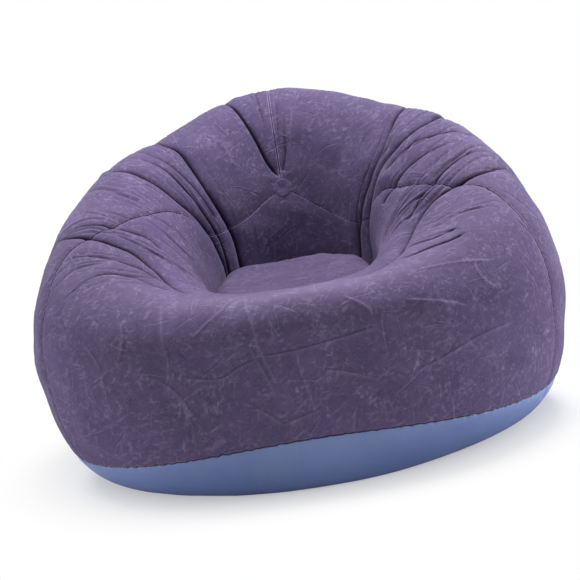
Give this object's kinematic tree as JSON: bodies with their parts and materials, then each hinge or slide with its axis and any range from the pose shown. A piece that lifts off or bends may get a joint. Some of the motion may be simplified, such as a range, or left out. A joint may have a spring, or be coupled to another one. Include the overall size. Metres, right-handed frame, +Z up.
{
  "type": "inflatable armchair",
  "caption": "Inflatable lounge chair: flocked vinyl gores welded over a smooth triangular base, with raised arms and back round a sunk crowned seat and a capped air valve behind.",
  "frame": {"origin": "middle of the footprint, on the floor", "axes": "+X to the right seen from the front, +Y to the back, +Z up"},
  "size_m": [1.068, 1.0331, 0.6996],
  "materials": {
    "front_flock": "flocked vinyl film, matt velvet",
    "left_flock": "flocked vinyl film, matt velvet",
    "right_flock": "flocked vinyl film, matt velvet",
    "seat_flock": "flocked vinyl film, matt velvet",
    "patch_flock": "flocked vinyl film, matt velvet",
    "base_vinyl": "smooth vinyl film, soft satin sheen",
    "wall_vinyl": "plain vinyl film",
    "backing_vinyl": "plain vinyl film",
    "flange_vinyl": "translucent moulded vinyl",
    "plug_vinyl": "translucent moulded vinyl",
    "cap_vinyl": "translucent moulded vinyl",
    "flap_vinyl": "thin soft vinyl"
  },
  "bodies": {
    "chair": {"front_panel": "front_flock", "left_back_panel": "left_flock", "right_back_panel": "right_flock", "base_panel": "base_vinyl", "seat_panel": "seat_flock", "seat_ring_wall": "wall_vinyl", "tuft_patch": "patch_flock", "tuft_backing": "backing_vinyl", "valve_flange": "flange_vinyl"},
    "plug": {"valve_plug": "plug_vinyl"},
    "cap": {"valve_cap": "cap_vinyl"},
    "flap": {"check_flap": "flap_vinyl"}
  },
  "joints": [
    {"name": "plug_pull", "type": "slide", "parent": "chair", "child": "plug", "axis": [0.8188, 0.5722, -0.045], "range_m": [0, 0.03]},
    {"name": "cap_open", "type": "hinge", "parent": "plug", "child": "cap", "pos_m": [0.29905, 0.33674, 0.20242], "axis": [0.5728, -0.8197, 0], "range_deg": [0, 150]},
    {"name": "flap_open", "type": "hinge", "parent": "plug", "child": "flap", "pos_m": [0.28874, 0.32954, 0.19883], "axis": [-0.5728, 0.8197, 0], "range_deg": [0, 60]}
  ]
}
